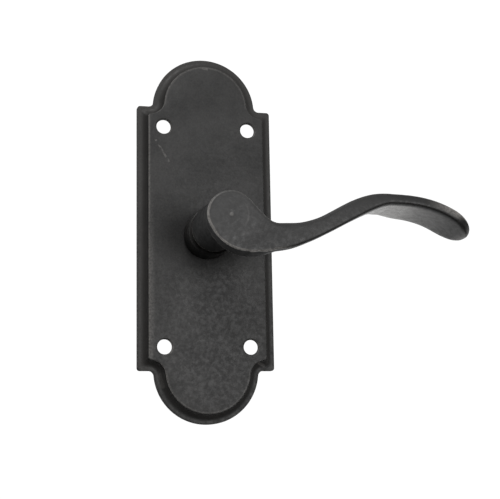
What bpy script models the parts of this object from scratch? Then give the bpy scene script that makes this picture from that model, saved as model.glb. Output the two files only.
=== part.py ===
"""Door lever handle: a cast S-shaped lever turning in a shaped backplate, with its return spring.

The handle is drawn as it lies on the bench, with the backplate's door face down:
u runs to the right, v runs up the plate and h is the height off the door face. An empty
then stands it up, so in the world u is +X, v is +Z and h is -Y. The origin is on the
spindle's axis, at the door face.
"""

import math

import bmesh
import bpy
import numpy as np

# ---------------------------------------------------------------- driving dimensions (metres)
GAP = 0.0003                    # between pieces that touch
RUNNING_GAP = 0.0002            # on the radius, between turning pieces

PLATE_WIDTH = 0.0570
SHOULDER_HALF_HEIGHT = 0.0553   # spindle axis to each ledge where the arch begins
ARCH_RADIUS = PLATE_WIDTH / 2 - 0.0068
ARCH_FILLET = 0.0022            # where the arch meets the ledge
PLATE_CORNER = 0.0012
PLATE_DEPTH = 0.0060            # door face to the raised field
PLATE_SKIN = 0.0015             # behind the raised field
RIM_HEIGHT = 0.0022             # the upright outer edge
RIM_ROUND = 0.0003
LIP_WIDTH = 0.0007              # the flat between the outer edge and the cove
COVE_WIDTH = 0.0031
COVE_TOP = PLATE_DEPTH - 0.0003  # height where the cove meets the field's bevel
ARRIS = 0.0003
POCKET_WALL = 0.0014            # left standing between the cove and the hollow back

SCREW_SPACING_U = PLATE_WIDTH - 0.0212
SCREW_SPACING_V = 2 * SHOULDER_HALF_HEIGHT - 0.0188
SCREW_HOLE_RADIUS = 0.00305
SCREW_SINK = 0.0005             # the broken edge at the mouth of each hole

SPINDLE_SIDE = 0.0080
SPINDLE_FIT = 0.0002            # each side, between the spindle and its socket
SPINDLE_IN = 0.0250             # from the door face into the neck
SPINDLE_OUT = 0.0400            # behind the door face
SPINDLE_CHAMFER = 0.0006

SHANK_RADIUS = 0.85 * SPINDLE_SIDE   # room for the square socket
SHANK_FLAT = 0.75 * SPINDLE_SIDE     # axis to each flat that carries the cam plate
SHANK_END = PLATE_DEPTH - 0.00395
SLEEVE_WALL = 0.0006
COLLAR_WALL = 0.0007            # around the sleeve, through the plate
COLLAR_RADIUS = SHANK_RADIUS + 0.0032
COLLAR_TOP = 0.0180
COLLAR_ROUND = 0.0005
THRUST_WASHER_THICKNESS = 0.0010
THRUST_WASHER_RADIUS = SHANK_RADIUS + 0.0018

NECK_ROOT_RADIUS = SHANK_RADIUS + 0.0023
NECK_BULGE_RADIUS = SHANK_RADIUS + 0.0027
NECK_WAIST_RADIUS = SHANK_RADIUS + 0.0019
NECK_BULGE_RISE = 0.0070        # from the neck's back face to its fullest girth
NECK_WAIST_RISE = 0.0224        # from the neck's back face to the waist below the head
HEAD_RADIUS = SHANK_RADIUS + 0.0025
HEAD_THICKNESS = 0.0055
HEAD_BEVEL = 0.0005
FACE_HEIGHT = 0.0503            # door face to the front of the head
FACE_PROUD = 0.0001             # of the lever bar's front edge

LEVER_REACH = 0.0999            # spindle axis to the tip
TIP_ROUND = 0.0094
PADDLE_TILT = math.radians(5.9)
# The heel of the bar is a round that grows out of the head's lower left edge.
HEEL_RADIUS = 0.0160
HEEL_START = -0.0086            # left end of the heel
HEEL_END = 0.0066               # where the heel's round runs into the bar's lower edge
HEEL_TOP = 0.0010               # the heel's upper edge, hidden in the head
# Middle line of the bar: height and slope at the root, the dip, the rise, the crest and the
# tip. All but the root are placed as shares of the lever's reach.
ROOT_V, ROOT_SLOPE = -0.0037, -0.45
DIP_AT, DIP_V = 0.170, -0.0078
RISE_AT, RISE_V, RISE_SLOPE = 0.400, -0.0012, 0.54
CREST_AT, CREST_V = 0.651, 0.0085
TIP_V, TIP_SLOPE = -0.0037, -0.94
LEAN_FROM, LEAN_TO = 0.170, 0.240   # the sections turn from upright to square with the bar
TWIST_FROM, TWIST_TO = 0.380, 0.700  # and then tilt until the paddle
# Thickness of the bar up the plate, and half of its width towards the door, each with its
# place as a share of the reach.
BAR_THICKNESS = (
    (0.066, 0.0206),
    (0.109, 0.0163),
    (0.132, 0.0141),
    (0.148, 0.0126),
    (0.163, 0.0113),
    (0.187, 0.0102),
    (0.210, 0.0101),
    (0.300, 0.0079),
    (0.380, 0.0069),
    (0.480, 0.0070),
    (0.571, 0.0063),
    (0.661, 0.0047),
    (1.000, 0.0047),
)
BAR_HALF_WIDTH = (
    (-0.086, 0.0032),
    (0.000, 0.0044),
    (0.060, 0.0060),
    (0.110, 0.0060),
    (0.150, 0.0050),
    (0.183, 0.0036),
    (0.220, 0.0029),
    (0.320, 0.0025),
    (0.420, 0.0025),
    (0.520, 0.0032),
    (0.620, 0.0077),
    (0.741, 0.0100),
    (1.000, 0.0100),
)
BAR_SQUARENESS = 5.5            # 2 is an oval section, larger is boxier
ROOT_SQUARENESS = 20.0          # the flat face runs right out to the heel's edge

CHAMBER_RADIUS = SHANK_RADIUS + 0.0090
CHAMBER_WALL = 0.0014
COVER_THICKNESS = 0.0008
COVER_SEAT = PLATE_DEPTH - 0.0040   # height of the chamber's rim above the door face
COVER_SIDE = 2 * SHANK_RADIUS + 0.0208
COVER_CORNER = 0.0036
COVER_HOLE_RADIUS = 0.825 * SPINDLE_SIDE
RIVET_OFFSET = SHANK_RADIUS + 0.0070  # axis to each rivet, along u and along v
RIVET_SHANK_RADIUS = 0.0011
RIVET_HEAD_RADIUS = 0.0021
RIVET_HEAD = 0.0005
LUG_RADIUS = 0.0030

CAM_THICKNESS = 0.0008
CAM_RADIUS = SHANK_RADIUS + 0.0020
CAM_EAR_LENGTH = SHANK_RADIUS + 0.0075
CAM_EAR_WIDTH = 0.0040
CAM_PIN_AT = SHANK_RADIUS + 0.0026
CAM_PIN_RADIUS = 0.0007
TURN = math.radians(40.0)       # the lever's travel
STOP_AT = SHANK_RADIUS + 0.0057
STOP_RADIUS = 0.0010

RING_THICKNESS = 0.0006
RING_DEPTH = 0.0005             # of its groove
RING_OUTER = SHANK_RADIUS + 0.0016
RING_OPENING = math.radians(26.0)

SPRING_WIRE = 0.0008
SPRING_INNER = CAM_PIN_AT
SPRING_OUTER = SPRING_INNER + 0.0040
SPRING_TURNS = 2.35
ANCHOR_RADIUS = 0.0008

GRUB_RADIUS = 0.0020
GRUB_AT = 0.0225                # height off the door face
GRUB_SINK = 0.0007
GRUB_SOCKET = 0.0010

ROUND_STEPS = 48

# ---------------------------------------------------------------- dimensions that follow
BORDER = RIM_ROUND + LIP_WIDTH + COVE_WIDTH + ARRIS
POCKET_TOP = PLATE_DEPTH - PLATE_SKIN
POCKET_INSET = BORDER + POCKET_WALL
SLEEVE_INNER = SHANK_RADIUS + RUNNING_GAP
SLEEVE_OUTER = SLEEVE_INNER + SLEEVE_WALL
COLLAR_INNER = SLEEVE_OUTER + RUNNING_GAP
SPIGOT_RADIUS = COLLAR_INNER + COLLAR_WALL
PLATE_BORE = SPIGOT_RADIUS + RUNNING_GAP
COLLAR_FOOT = PLATE_DEPTH + GAP
SPIGOT_END = POCKET_TOP + GAP
WASHER_FOOT = COLLAR_TOP + GAP
NECK_FOOT = WASHER_FOOT + THRUST_WASHER_THICKNESS + GAP
CAM_TOP = POCKET_TOP - GAP
CAM_FOOT = CAM_TOP - CAM_THICKNESS
RING_TOP = CAM_FOOT - GAP
RING_FOOT = RING_TOP - RING_THICKNESS
GROOVE_SLACK = 0.00015
COVER_TOP = COVER_SEAT - GAP
COVER_FOOT = COVER_TOP - COVER_THICKNESS
RIVET_TOP = COVER_FOOT - GAP
SOCKET_HALF = SPINDLE_SIDE / 2 + SPINDLE_FIT
SPRING_HEIGHT = (CAM_FOOT + COVER_TOP) / 2
FREE_PIN_END = SPRING_HEIGHT - SPRING_WIRE / 2
BAR_FRONT = FACE_HEIGHT - FACE_PROUD
EAR_DIRECTION = math.pi


# ---------------------------------------------------------------- scene, materials, helpers
for existing in list(bpy.data.objects):
    bpy.data.objects.remove(existing, do_unlink=True)

handle = bpy.data.collections.new("door_lever_handle")
cutters = bpy.data.collections.new("cutters")
for collection in (handle, cutters):
    bpy.context.scene.collection.children.link(collection)


def finish(name, colour, roughness, metallic):
    """A Principled material in one colour."""
    material = bpy.data.materials.new(name)
    material.use_nodes = True
    shader = material.node_tree.nodes["Principled BSDF"]
    shader.inputs["Base Color"].default_value = (*colour, 1.0)
    shader.inputs["Roughness"].default_value = roughness
    shader.inputs["Metallic"].default_value = metallic
    return material


black_iron = (0.052, 0.053, 0.051)
bright_steel = (0.42, 0.42, 0.41)

# The empty stands the bench drawing up; the second one turns with the lever.
door_face = bpy.data.objects.new("door_face", None)
door_face.rotation_euler = (math.pi / 2, 0.0, 0.0)
lever_axis = bpy.data.objects.new("lever_axis", None)
lever_axis.parent = door_face
for empty in (door_face, lever_axis):
    handle.objects.link(empty)


def place(obj, parent, colour, roughness, metallic):
    """Put a finished piece in the handle's collection, under its empty, with its own material."""
    for owner in list(obj.users_collection):
        owner.objects.unlink(obj)
    handle.objects.link(obj)
    obj.parent = parent
    obj.data.materials.clear()
    obj.data.materials.append(finish(obj.name + "_finish", colour, roughness, metallic))
    if obj.type == "MESH":
        obj.data.shade_smooth()
        obj.data.set_sharp_from_angle(angle=math.radians(35.0))
    return obj


def as_cutter(obj):
    """Keep a shape only as a tool for the Boolean modifiers."""
    for owner in list(obj.users_collection):
        owner.objects.unlink(obj)
    cutters.objects.link(obj)
    obj.parent = door_face
    obj.hide_render = True
    obj.display_type = "WIRE"
    return obj


def boolean(obj, tool, operation):
    modifier = obj.modifiers.new(operation.lower() + "_" + tool.name, "BOOLEAN")
    modifier.operation = operation
    modifier.solver = "EXACT"
    modifier.object = tool


def new_mesh_object(name, vertices, edges, faces):
    mesh = bpy.data.meshes.new(name)
    mesh.from_pydata([tuple(map(float, v)) for v in vertices], edges, faces)
    obj = bpy.data.objects.new(name, mesh)
    bpy.context.scene.collection.objects.link(obj)
    return obj


def turned(name, profile, closed=False):
    """Turn a profile of (radius, height) about the spindle's axis. It runs down the outer side."""
    count = len(profile)
    edges = [(i, i + 1) for i in range(count - 1)]
    if closed:
        edges.append((count - 1, 0))
    obj = new_mesh_object(name, [(radius, 0.0, height) for radius, height in profile], edges, [])
    screw = obj.modifiers.new("turn", "SCREW")
    screw.axis = "Z"
    screw.steps = ROUND_STEPS
    screw.render_steps = ROUND_STEPS
    screw.use_merge_vertices = True
    screw.merge_threshold = 0.00001
    return obj


def ring(name, inner, outer, foot, top):
    """A plain washer or sleeve."""
    return turned(name, [(outer, top), (outer, foot), (inner, foot), (inner, top)], closed=True)


def rod(name, radius, foot, top, centre=(0.0, 0.0), steps=ROUND_STEPS):
    """A round bar standing on the bench."""
    bpy.ops.mesh.primitive_cylinder_add(vertices=steps, radius=radius, depth=top - foot)
    obj = bpy.context.object
    obj.name = name
    obj.data.name = name
    obj.location = (centre[0], centre[1], (foot + top) / 2)
    return obj


def block(name, half_u, half_v, foot, top, centre=(0.0, 0.0)):
    """A plain box standing on the bench."""
    bm = bmesh.new()
    bmesh.ops.create_cube(bm, size=1.0)
    bmesh.ops.scale(bm, vec=(2 * half_u, 2 * half_v, top - foot), verts=bm.verts)
    mesh = bpy.data.meshes.new(name)
    bm.to_mesh(mesh)
    bm.free()
    obj = bpy.data.objects.new(name, mesh)
    obj.location = (centre[0], centre[1], (foot + top) / 2)
    bpy.context.scene.collection.objects.link(obj)
    return obj


def cut_from_sheet(name, loops, thickness, middle):
    """A flat piece: closed outlines on a filled 2D curve, with holes where a loop lies inside."""
    curve = bpy.data.curves.new(name, "CURVE")
    curve.dimensions = "2D"
    curve.fill_mode = "BOTH"
    curve.extrude = thickness / 2
    for loop in loops:
        spline = curve.splines.new("POLY")
        spline.points.add(len(loop) - 1)
        for point, (u, v) in zip(spline.points, loop):
            point.co = (float(u), float(v), 0.0, 1.0)
        spline.use_cyclic_u = True
    obj = bpy.data.objects.new(name, curve)
    obj.location = (0.0, 0.0, middle)
    bpy.context.scene.collection.objects.link(obj)
    return obj


def arc(centre, radius, start, stop, steps):
    """Points along a round stretch, both ends included; angles in radians."""
    angles = np.linspace(start, stop, steps + 1)
    return np.stack([centre[0] + radius * np.cos(angles), centre[1] + radius * np.sin(angles)], axis=1)


def at_angle(radius, angle):
    return (radius * math.cos(angle), radius * math.sin(angle))


def loft(name, rings):
    """Skin a row of closed sections with the same number of points, and close both ends."""
    count = len(rings[0])
    vertices = np.concatenate(rings)
    faces = [tuple(range(count))]
    for row in range(len(rings) - 1):
        low, high = row * count, (row + 1) * count
        for i in range(count):
            j = (i + 1) % count
            faces.append((low + i, low + j, high + j, high + i))
    last = (len(rings) - 1) * count
    faces.append(tuple(last + i for i in reversed(range(count))))
    obj = new_mesh_object(name, vertices, [], faces)
    bm = bmesh.new()
    bm.from_mesh(obj.data)
    bmesh.ops.recalc_face_normals(bm, faces=bm.faces)
    bm.to_mesh(obj.data)
    bm.free()
    return obj


# ---------------------------------------------------------------- backplate
def plate_outline(inset):
    """The plate's outline moved inwards: two arches on a shouldered rectangle."""
    fillet_u = math.sqrt((ARCH_RADIUS + ARCH_FILLET) ** 2 - ARCH_FILLET**2)
    meeting = math.atan2(ARCH_FILLET, fillet_u)
    half_width = PLATE_WIDTH / 2 - inset
    ledge = SHOULDER_HALF_HEIGHT - inset
    quarter = [
        arc((0.0, SHOULDER_HALF_HEIGHT), ARCH_RADIUS - inset, math.pi / 2, meeting, 14),
        arc(
            (fillet_u, SHOULDER_HALF_HEIGHT + ARCH_FILLET),
            ARCH_FILLET + inset,
            math.pi + meeting,
            1.5 * math.pi,
            5,
        )[1:],
        arc((half_width - PLATE_CORNER, ledge - PLATE_CORNER), PLATE_CORNER, math.pi / 2, 0.0, 3),
    ]
    quarter = np.concatenate(quarter)
    lower_right = quarter[::-1] * (1, -1)
    right = np.concatenate([quarter, lower_right])
    left = (right * (-1, 1))[::-1]
    return np.concatenate([right, left[1:-1]])


def plate_section(inset, height):
    outline = plate_outline(inset)
    return np.column_stack([outline, np.full(len(outline), height)])


def make_backplate():
    lip = RIM_ROUND + LIP_WIDTH
    lip_height = RIM_HEIGHT + RIM_ROUND
    sections = [plate_section(0.0, 0.0), plate_section(0.0, RIM_HEIGHT)]
    sections.append(plate_section(RIM_ROUND, lip_height))
    # The cove is a quarter oval, level at the lip and upright where it meets the field.
    for angle in np.linspace(0.0, math.pi / 2, 6):
        inset = lip + COVE_WIDTH * math.sin(angle)
        height = COVE_TOP - (COVE_TOP - lip_height) * math.cos(angle)
        sections.append(plate_section(inset, height))
    sections.append(plate_section(BORDER, PLATE_DEPTH))
    plate = loft("backplate", sections)

    pocket = [plate_section(POCKET_INSET, -PLATE_SKIN), plate_section(POCKET_INSET, POCKET_TOP)]
    boolean(plate, as_cutter(loft("pocket", pocket)), "DIFFERENCE")

    overlap = PLATE_SKIN / 2
    places = [(su * SCREW_SPACING_U / 2, sv * SCREW_SPACING_V / 2) for su in (-1, 1) for sv in (-1, 1)]
    chamber_outer = CHAMBER_RADIUS + CHAMBER_WALL
    chamber = ring("chamber_wall", CHAMBER_RADIUS, chamber_outer, COVER_SEAT, POCKET_TOP + overlap)
    boolean(plate, as_cutter(chamber), "UNION")
    for number, centre in enumerate(RIVET_PLACES):
        lug = rod(f"rivet_lug_{number}", LUG_RADIUS, COVER_SEAT, POCKET_TOP + overlap, centre, 24)
        boolean(plate, as_cutter(lug), "UNION")

    for number, centre in enumerate(places):
        hole = rod(f"screw_hole_{number}", SCREW_HOLE_RADIUS, -PLATE_SKIN, PLATE_DEPTH + PLATE_SKIN, centre, 32)
        boolean(plate, as_cutter(hole), "DIFFERENCE")
        bpy.ops.mesh.primitive_cone_add(
            vertices=32,
            radius1=SCREW_HOLE_RADIUS,
            radius2=SCREW_HOLE_RADIUS + 2 * SCREW_SINK,
            depth=2 * SCREW_SINK,
            location=(centre[0], centre[1], PLATE_DEPTH),
        )
        mouth = bpy.context.object
        mouth.name = f"screw_mouth_{number}"
        boolean(plate, as_cutter(mouth), "DIFFERENCE")
    for number, centre in enumerate(RIVET_PLACES):
        hole_top = RIVET_DEPTH + GAP
        hole = rod(f"rivet_hole_{number}", RIVET_SHANK_RADIUS + RUNNING_GAP, 0.0, hole_top, centre, 16)
        boolean(plate, as_cutter(hole), "DIFFERENCE")
    bore = rod("plate_bore", PLATE_BORE, 0.0, PLATE_DEPTH + PLATE_SKIN)
    boolean(plate, as_cutter(bore), "DIFFERENCE")
    return place(plate, door_face, black_iron, 0.55, 0.6)


RIVET_PLACES = [(su * RIVET_OFFSET, sv * RIVET_OFFSET) for su in (-1, 1) for sv in (-1, 1)]
RIVET_DEPTH = POCKET_TOP - GAP


# ---------------------------------------------------------------- neck collar, sleeve, thrust washer
def make_collar():
    profile = [
        (COLLAR_RADIUS - COLLAR_ROUND, COLLAR_TOP),
        (COLLAR_RADIUS, COLLAR_TOP - COLLAR_ROUND),
        (COLLAR_RADIUS, COLLAR_FOOT),
        (SPIGOT_RADIUS, COLLAR_FOOT),
        (SPIGOT_RADIUS, SPIGOT_END),
        (COLLAR_INNER, SPIGOT_END),
        (COLLAR_INNER, COLLAR_TOP),
    ]
    return place(turned("neck_collar", profile, closed=True), door_face, black_iron, 0.5, 0.6)


def make_sleeve():
    sleeve = ring("bearing_sleeve", SLEEVE_INNER, SLEEVE_OUTER, SPIGOT_END, COLLAR_TOP)
    return place(sleeve, door_face, (0.45, 0.30, 0.13), 0.4, 1.0)


def make_thrust_washer():
    top = WASHER_FOOT + THRUST_WASHER_THICKNESS
    washer = ring("thrust_washer", SLEEVE_INNER, THRUST_WASHER_RADIUS, WASHER_FOOT, top)
    return place(washer, door_face, (0.10, 0.09, 0.08), 0.6, 0.4)


# ---------------------------------------------------------------- lever
def hermite(x, keys):
    """Piecewise cubic through keys of (place, value, slope)."""
    table = np.array(keys, dtype=float)
    index = np.clip(np.searchsorted(table[:, 0], x) - 1, 0, len(table) - 2)
    x0, v0, s0 = table[index].T
    x1, v1, s1 = table[index + 1].T
    step = x1 - x0
    t = (x - x0) / step
    start = (2 * t**3 - 3 * t**2 + 1) * v0 + (t**3 - 2 * t**2 + t) * step * s0
    return start + (3 * t**2 - 2 * t**3) * v1 + (t**3 - t**2) * step * s1


def eased(x, keys):
    """Piecewise cubic through keys of (place, value) that never overshoots between them."""
    table = np.array(keys, dtype=float)
    rise = np.diff(table[:, 1]) / np.diff(table[:, 0])
    slopes = np.zeros(len(table))
    for i in range(1, len(table) - 1):
        before, after = rise[i - 1], rise[i]
        if before * after > 0:
            slopes[i] = 2 * before * after / (before + after)
    return hermite(x, [(place_at, value, slope) for (place_at, value), slope in zip(keys, slopes)])


def smooth_step(x, start, stop):
    t = np.clip((x - start) / (stop - start), 0.0, 1.0)
    return t**2 * (3.0 - 2.0 * t)


def lever_sections(heel_stations=8, stations=38, tip_stations=8, around=28):
    """Boxy oval sections along the S-curve, from the heel in the head to the rounded paddle."""
    body_end = LEVER_REACH - TIP_ROUND
    heel_turn = math.asin((HEEL_END - HEEL_START) / HEEL_RADIUS)
    heel_angles = np.linspace(-heel_turn, 0.0, heel_stations, endpoint=False)
    tip_angles = np.linspace(0.0, math.radians(78.0), tip_stations)
    u = np.concatenate([
        HEEL_END + HEEL_RADIUS * np.sin(heel_angles),
        np.linspace(HEEL_END, body_end, stations, endpoint=False),
        body_end + TIP_ROUND * np.sin(tip_angles) / math.sin(tip_angles[-1]),
    ])
    share = u / LEVER_REACH
    spine = (
        (HEEL_END, ROOT_V, ROOT_SLOPE),
        (DIP_AT * LEVER_REACH, DIP_V, 0.0),
        (RISE_AT * LEVER_REACH, RISE_V, RISE_SLOPE),
        (CREST_AT * LEVER_REACH, CREST_V, 0.0),
        (LEVER_REACH, TIP_V, TIP_SLOPE),
    )
    middle = hermite(np.maximum(u, HEEL_END), spine)
    half_thick = eased(np.maximum(share, share[heel_stations]), BAR_THICKNESS) / 2
    slope = np.gradient(middle, u) * smooth_step(share, LEAN_FROM, LEAN_TO)

    # In the heel the lower edge is a round, and the upper edge runs inside the head.
    before_end = np.minimum(u - HEEL_END, 0.0)
    lower = middle - half_thick + HEEL_RADIUS - np.sqrt(HEEL_RADIUS**2 - before_end**2)
    upper = middle + half_thick
    upper += (HEEL_TOP - upper) * before_end / (HEEL_START - HEEL_END)
    middle = (upper + lower) / 2
    half_thick = (upper - lower) / 2

    length = np.hypot(1.0, slope)
    across_u, across_v = -slope / length, 1.0 / length
    half_wide = eased(share, BAR_HALF_WIDTH)
    past = np.clip((u - body_end) / TIP_ROUND, 0.0, 1.0) * math.sin(tip_angles[-1])
    narrowed = half_wide * np.sqrt(1.0 - past**2)
    thinned = half_thick * np.sqrt(1.0 - past**6)
    tilt = PADDLE_TILT * smooth_step(share, TWIST_FROM, TWIST_TO)

    angle = np.linspace(0.0, 2 * math.pi, around, endpoint=False)
    angle = angle + 0.24 * np.sin(4 * angle)    # more points at the corners
    squareness = ROOT_SQUARENESS + (BAR_SQUARENESS - ROOT_SQUARENESS) * smooth_step(share, 0.09, 0.24)
    power = (2.0 / squareness)[:, None]
    side = np.sign(np.cos(angle)) * np.abs(np.cos(angle)) ** power
    rise = np.sign(np.sin(angle)) * np.abs(np.sin(angle)) ** power
    inwards = half_wide[:, None] + narrowed[:, None] * side
    normal = thinned[:, None] * rise
    depth = inwards * np.cos(tilt)[:, None] + normal * np.sin(tilt)[:, None]
    lift = normal * np.cos(tilt)[:, None] - inwards * np.sin(tilt)[:, None]
    points = np.stack([
        u[:, None] + across_u[:, None] * lift,
        middle[:, None] + across_v[:, None] * lift,
        BAR_FRONT - depth,
    ], axis=-1)
    return list(points)


def make_lever():
    waist = NECK_FOOT + NECK_WAIST_RISE
    bulge = NECK_FOOT + NECK_BULGE_RISE
    head_foot = FACE_HEIGHT - HEAD_THICKNESS
    groove_top = RING_TOP + GROOVE_SLACK
    groove_foot = RING_FOOT - GROOVE_SLACK
    groove_radius = SHANK_RADIUS - RING_DEPTH
    # The neck swells from its root to its fullest girth, then falls to the waist on a half wave.
    swell = []
    for t in np.linspace(1.0, 0.0, 7):
        blend = 0.5 - 0.5 * math.cos(math.pi * t)
        radius = NECK_BULGE_RADIUS + (NECK_WAIST_RADIUS - NECK_BULGE_RADIUS) * blend
        swell.append((radius, bulge + (waist - bulge) * t))
    for t in np.linspace(0.8, 0.0, 5):
        radius = NECK_ROOT_RADIUS + (NECK_BULGE_RADIUS - NECK_ROOT_RADIUS) * math.sin(math.pi / 2 * t)
        swell.append((radius, NECK_FOOT + NECK_BULGE_RISE * t))
    profile = [
        (0.0, FACE_HEIGHT),
        (HEAD_RADIUS - HEAD_BEVEL, FACE_HEIGHT),
        (HEAD_RADIUS, FACE_HEIGHT - HEAD_BEVEL),
        (HEAD_RADIUS, head_foot + HEAD_BEVEL),
        (HEAD_RADIUS - HEAD_BEVEL, head_foot),
        *swell,
        (SHANK_RADIUS, NECK_FOOT),
        (SHANK_RADIUS, groove_top),
        (groove_radius, groove_top),
        (groove_radius, groove_foot),
        (SHANK_RADIUS, groove_foot),
        (SHANK_RADIUS, SHANK_END),
        (0.0, SHANK_END),
    ]
    lever = turned("lever", profile)
    boolean(lever, as_cutter(loft("lever_bar", lever_sections())), "UNION")
    for side in (-1, 1):
        middle = side * (SHANK_FLAT + SHANK_RADIUS / 2)
        flat = block(f"shank_flat_{side + 1}", SHANK_RADIUS, SHANK_RADIUS / 2, 0.0, SPIGOT_END, (0.0, middle))
        boolean(lever, as_cutter(flat), "DIFFERENCE")
    socket = block("spindle_socket", SOCKET_HALF, SOCKET_HALF, 0.0, SPINDLE_IN + GAP)
    boolean(lever, as_cutter(socket), "DIFFERENCE")
    hole = rod("grub_hole", GRUB_RADIUS + RUNNING_GAP, 0.0, NECK_BULGE_RADIUS * 1.2, steps=24)
    hole.rotation_euler = (0.0, math.pi / 2, 0.0)
    hole.location = (NECK_BULGE_RADIUS * 0.6 + SOCKET_HALF / 2, 0.0, GRUB_AT)
    boolean(lever, as_cutter(hole), "DIFFERENCE")
    return place(lever, lever_axis, black_iron, 0.45, 0.7)


# ---------------------------------------------------------------- spindle and grub screw
def make_spindle():
    half = SPINDLE_SIDE / 2
    spindle = block("spindle", half, half, -SPINDLE_OUT, SPINDLE_IN)
    bevel = spindle.modifiers.new("broken_edges", "BEVEL")
    bevel.width = SPINDLE_CHAMFER
    bevel.segments = 1
    bevel.limit_method = "ANGLE"
    return place(spindle, lever_axis, bright_steel, 0.4, 1.0)


def make_grub_screw():
    inner = SPINDLE_SIDE / 2 + GAP
    outer = NECK_ROOT_RADIUS - GRUB_SINK
    screw = rod("grub_screw", GRUB_RADIUS, inner, outer, steps=24)
    key = rod("hex_socket", GRUB_SOCKET, outer - GRUB_SOCKET, outer + GRUB_SOCKET, steps=6)
    for piece in (screw, key):
        piece.location = (piece.location.z, 0.0, GRUB_AT)
        piece.rotation_euler = (0.0, math.pi / 2, 0.0)
    boolean(screw, as_cutter(key), "DIFFERENCE")
    return place(screw, lever_axis, (0.12, 0.12, 0.12), 0.4, 1.0)


# ---------------------------------------------------------------- cam plate and retaining ring
def flatted_hole():
    """The shank's two-flatted section, grown by the running gap."""
    radius = SHANK_RADIUS + RUNNING_GAP
    reach = math.asin((SHANK_FLAT + RUNNING_GAP) / radius)
    right = arc((0.0, 0.0), radius, -reach, reach, 14)
    left = arc((0.0, 0.0), radius, math.pi - reach, math.pi + reach, 14)
    return np.concatenate([right, left])


def make_cam_plate():
    half_ear = math.asin(CAM_EAR_WIDTH / 2 / CAM_RADIUS)
    body = arc((0.0, 0.0), CAM_RADIUS, -math.pi + half_ear, math.pi - half_ear, 40)
    ear_end = -math.sqrt(CAM_EAR_LENGTH**2 - (CAM_EAR_WIDTH / 2) ** 2)
    ear = np.array([(ear_end, CAM_EAR_WIDTH / 2), (ear_end, -CAM_EAR_WIDTH / 2)])
    outline = np.concatenate([body, ear])
    middle = (CAM_TOP + CAM_FOOT) / 2
    cam = cut_from_sheet("cam_plate", [outline, flatted_hole()], CAM_THICKNESS, middle)
    return place(cam, lever_axis, bright_steel, 0.45, 1.0)


def make_cam_pin():
    centre = at_angle(CAM_PIN_AT, EAR_DIRECTION)
    pin = rod("cam_pin", CAM_PIN_RADIUS, FREE_PIN_END, CAM_FOOT - GAP, centre, 16)
    return place(pin, lever_axis, bright_steel, 0.4, 1.0)


def make_retaining_ring():
    groove = SHANK_RADIUS - RING_DEPTH + RUNNING_GAP
    outer = arc((0.0, 0.0), RING_OUTER, RING_OPENING, 2 * math.pi - RING_OPENING, 44)
    inner = arc((0.0, 0.0), groove, 2 * math.pi - RING_OPENING, RING_OPENING, 44)
    middle = (RING_TOP + RING_FOOT) / 2
    clip = cut_from_sheet("retaining_ring", [np.concatenate([outer, inner])], RING_THICKNESS, middle)
    return place(clip, lever_axis, (0.15, 0.15, 0.16), 0.35, 1.0)


# ---------------------------------------------------------------- return spring, pins
def make_spring():
    """A flat spiral of round wire from the cam pin out to the anchor pin."""
    start = EAR_DIRECTION + (CAM_PIN_RADIUS + SPRING_WIRE / 2 + GAP) / SPRING_INNER
    sweep = 2 * math.pi * SPRING_TURNS
    count = 76
    curve = bpy.data.curves.new("return_spring", "CURVE")
    curve.dimensions = "3D"
    curve.bevel_depth = SPRING_WIRE / 2
    curve.bevel_resolution = 2
    curve.use_fill_caps = True
    spline = curve.splines.new("POLY")
    spline.points.add(count - 1)
    for point, t in zip(spline.points, np.linspace(0.0, 1.0, count)):
        u, v = at_angle(SPRING_INNER + (SPRING_OUTER - SPRING_INNER) * t, start + sweep * t)
        point.co = (u, v, 0.0, 1.0)
    spring = bpy.data.objects.new("return_spring", curve)
    spring.location = (0.0, 0.0, SPRING_HEIGHT)
    bpy.context.scene.collection.objects.link(spring)
    place(spring, door_face, (0.30, 0.30, 0.31), 0.3, 1.0)
    end_angle = start + sweep + (ANCHOR_RADIUS + SPRING_WIRE / 2 + GAP) / SPRING_OUTER
    anchor = rod(
        "spring_anchor_pin",
        ANCHOR_RADIUS,
        FREE_PIN_END,
        POCKET_TOP - GAP,
        at_angle(SPRING_OUTER, end_angle),
        16,
    )
    place(anchor, door_face, bright_steel, 0.4, 1.0)


def make_stop_pins():
    """The cam's ear rests on one pin and meets the other at the end of the lever's travel."""
    clear = math.asin((CAM_EAR_WIDTH / 2 + STOP_RADIUS + GAP) / STOP_AT)
    angles = {
        "rest_stop_pin": EAR_DIRECTION + clear,
        "travel_stop_pin": EAR_DIRECTION - TURN - clear,
    }
    for name, angle in angles.items():
        pin = rod(name, STOP_RADIUS, CAM_FOOT, POCKET_TOP - GAP, at_angle(STOP_AT, angle), 16)
        place(pin, door_face, bright_steel, 0.4, 1.0)


# ---------------------------------------------------------------- spring cover and rivets
def make_cover():
    half = COVER_SIDE / 2 - COVER_CORNER
    outline = []
    for quarter, (su, sv) in enumerate(((1, 1), (-1, 1), (-1, -1), (1, -1))):
        start = quarter * math.pi / 2
        outline.append(arc((su * half, sv * half), COVER_CORNER, start, start + math.pi / 2, 5))
    loops = [np.concatenate(outline), arc((0.0, 0.0), COVER_HOLE_RADIUS, 0.0, 2 * math.pi, 40)[:-1]]
    for centre in RIVET_PLACES:
        loops.append(arc(centre, RIVET_SHANK_RADIUS + RUNNING_GAP, 0.0, 2 * math.pi, 16)[:-1])
    middle = (COVER_TOP + COVER_FOOT) / 2
    cover = cut_from_sheet("spring_cover", loops, COVER_THICKNESS, middle)
    return place(cover, door_face, (0.20, 0.20, 0.20), 0.5, 1.0)


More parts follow.
